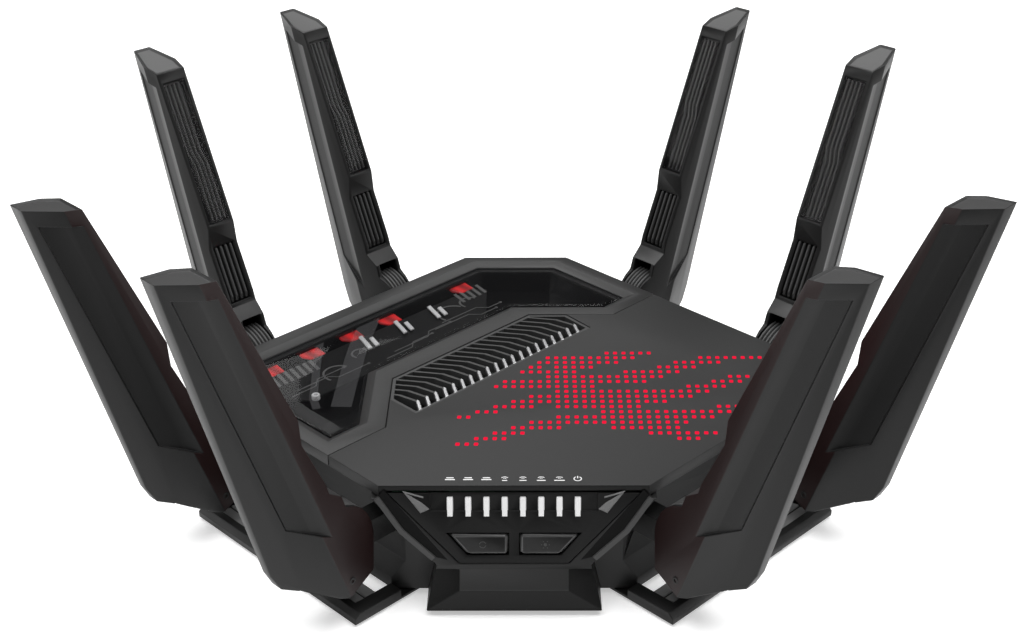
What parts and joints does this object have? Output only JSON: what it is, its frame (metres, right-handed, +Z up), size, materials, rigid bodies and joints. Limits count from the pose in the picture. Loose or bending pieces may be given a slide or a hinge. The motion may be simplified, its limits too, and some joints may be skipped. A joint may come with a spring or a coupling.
{
  "type": "wireless router",
  "caption": "Eight-sided desktop wireless router with tilting blade antennas, windowed vented top, dot-light field, front status lights and buttons, rear sockets and open frame feet.",
  "frame": {"origin": "on the floor under the middle of the whole object, antennas at their rest lean included", "axes": "+X to the right as seen from the front, +Y to the back, +Z up; the front face with the status lights looks to -Y"},
  "size_m": [0.4254, 0.356, 0.2042],
  "materials": {
    "cover_charcoal": "fine satin texture, charcoal",
    "case_black": "matt black moulded",
    "blade_grey": "satin dark grey moulded",
    "clear_smoke": "clear smoked plastic, polished",
    "gloss_black": "polished black",
    "light_white": "milky light guide",
    "light_red": "red light film",
    "board_green": "solder mask",
    "steel": "plated steel",
    "sink_aluminium": "extruded aluminium",
    "rubber_black": "soft rubber"
  },
  "bodies": {
    "case": {"top_cover": "cover_charcoal", "window_frame": "cover_charcoal", "window_lens": "clear_smoke", "window_tray": "gloss_black", "vent_grille": "case_black", "heat_sink": "sink_aluminium", "main_board": "board_green", "dot_light_panel": "light_red", "front_face": "case_black", "status_light_guide": "light_white", "knuckle_front_left_1": "case_black", "knuckle_front_left_2": "case_black", "knuckle_front_right_1": "case_black", "knuckle_front_right_2": "case_black", "knuckle_back_left_1": "case_black", "knuckle_back_left_2": "case_black", "knuckle_back_right_1": "case_black", "knuckle_back_right_2": "case_black", "foot_front_left": "case_black", "foot_pad_front_left": "rubber_black", "foot_front_right": "case_black", "foot_pad_front_right": "rubber_black", "foot_back_left": "case_black", "foot_pad_back_left": "rubber_black", "foot_back_right": "case_black", "foot_pad_back_right": "rubber_black", "network_ports": "steel", "usb_ports": "steel", "power_inlet": "gloss_black", "rear_panel": "gloss_black", "bottom_case": "case_black"},
    "left_button": {"left_button": "case_black"},
    "right_button": {"right_button": "case_black"},
    "antenna_front_left_1": {"antenna_front_left_1": "blade_grey", "antenna_cover_front_left_1": "clear_smoke", "hinge_pin_front_left_1": "steel"},
    "antenna_front_left_2": {"antenna_front_left_2": "blade_grey", "antenna_cover_front_left_2": "clear_smoke", "hinge_pin_front_left_2": "steel"},
    "antenna_front_right_1": {"antenna_front_right_1": "blade_grey", "antenna_cover_front_right_1": "clear_smoke", "hinge_pin_front_right_1": "steel"},
    "antenna_front_right_2": {"antenna_front_right_2": "blade_grey", "antenna_cover_front_right_2": "clear_smoke", "hinge_pin_front_right_2": "steel"},
    "antenna_back_left_1": {"antenna_back_left_1": "blade_grey", "antenna_cover_back_left_1": "clear_smoke", "hinge_pin_back_left_1": "steel"},
    "antenna_back_left_2": {"antenna_back_left_2": "blade_grey", "antenna_cover_back_left_2": "clear_smoke", "hinge_pin_back_left_2": "steel"},
    "antenna_back_right_1": {"antenna_back_right_1": "blade_grey", "antenna_cover_back_right_1": "clear_smoke", "hinge_pin_back_right_1": "steel"},
    "antenna_back_right_2": {"antenna_back_right_2": "blade_grey", "antenna_cover_back_right_2": "clear_smoke", "hinge_pin_back_right_2": "steel"},
    "power_switch": {"power_switch": "gloss_black"},
    "reset_button": {"reset_button": "light_red"}
  },
  "joints": [
    {"name": "tilt_front_left_1", "type": "hinge", "parent": "case", "child": "antenna_front_left_1", "pos_m": [-0.15559, -0.05119, 0.0426], "axis": [0.7071, -0.7071, 0], "range_deg": [-18.5, 26.5]},
    {"name": "tilt_front_left_2", "type": "hinge", "parent": "case", "child": "antenna_front_left_2", "pos_m": [-0.08591, -0.12087, 0.0426], "axis": [0.7071, -0.7071, 0], "range_deg": [-18.5, 26.5]},
    {"name": "tilt_front_right_1", "type": "hinge", "parent": "case", "child": "antenna_front_right_1", "pos_m": [0.15559, -0.05119, 0.0426], "axis": [0.7071, 0.7071, 0], "range_deg": [-18.5, 26.5]},
    {"name": "tilt_front_right_2", "type": "hinge", "parent": "case", "child": "antenna_front_right_2", "pos_m": [0.08591, -0.12087, 0.0426], "axis": [0.7071, 0.7071, 0], "range_deg": [-18.5, 26.5]},
    {"name": "tilt_back_left_1", "type": "hinge", "parent": "case", "child": "antenna_back_left_1", "pos_m": [-0.14636, 0.05189, 0.0426], "axis": [-0.7071, -0.7071, 0], "range_deg": [-18.5, 26.5]},
    {"name": "tilt_back_left_2", "type": "hinge", "parent": "case", "child": "antenna_back_left_2", "pos_m": [-0.07738, 0.12087, 0.0426], "axis": [-0.7071, -0.7071, 0], "range_deg": [-18.5, 26.5]},
    {"name": "tilt_back_right_1", "type": "hinge", "parent": "case", "child": "antenna_back_right_1", "pos_m": [0.14636, 0.05189, 0.0426], "axis": [-0.7071, 0.7071, 0], "range_deg": [-18.5, 26.5]},
    {"name": "tilt_back_right_2", "type": "hinge", "parent": "case", "child": "antenna_back_right_2", "pos_m": [0.07738, 0.12087, 0.0426], "axis": [-0.7071, 0.7071, 0], "range_deg": [-18.5, 26.5]},
    {"name": "left_button_press", "type": "slide", "parent": "case", "child": "left_button", "axis": [0, 0.9789, -0.2045], "range_m": [0, 0.001], "stiffness_N_per_m": 900, "springref_m": -0.0009},
    {"name": "right_button_press", "type": "slide", "parent": "case", "child": "right_button", "axis": [0, 0.9789, -0.2045], "range_m": [0, 0.001], "stiffness_N_per_m": 900, "springref_m": -0.0009},
    {"name": "power_rocker", "type": "hinge", "parent": "case", "child": "power_switch", "pos_m": [0.0327, 0.08444, 0.0154], "axis": [1, 0, 0], "range_deg": [-14, 0]},
    {"name": "reset_press", "type": "slide", "parent": "case", "child": "reset_button", "axis": [0, -1, 0], "range_m": [0, 0.0008], "stiffness_N_per_m": 400, "springref_m": -0.0006}
  ]
}
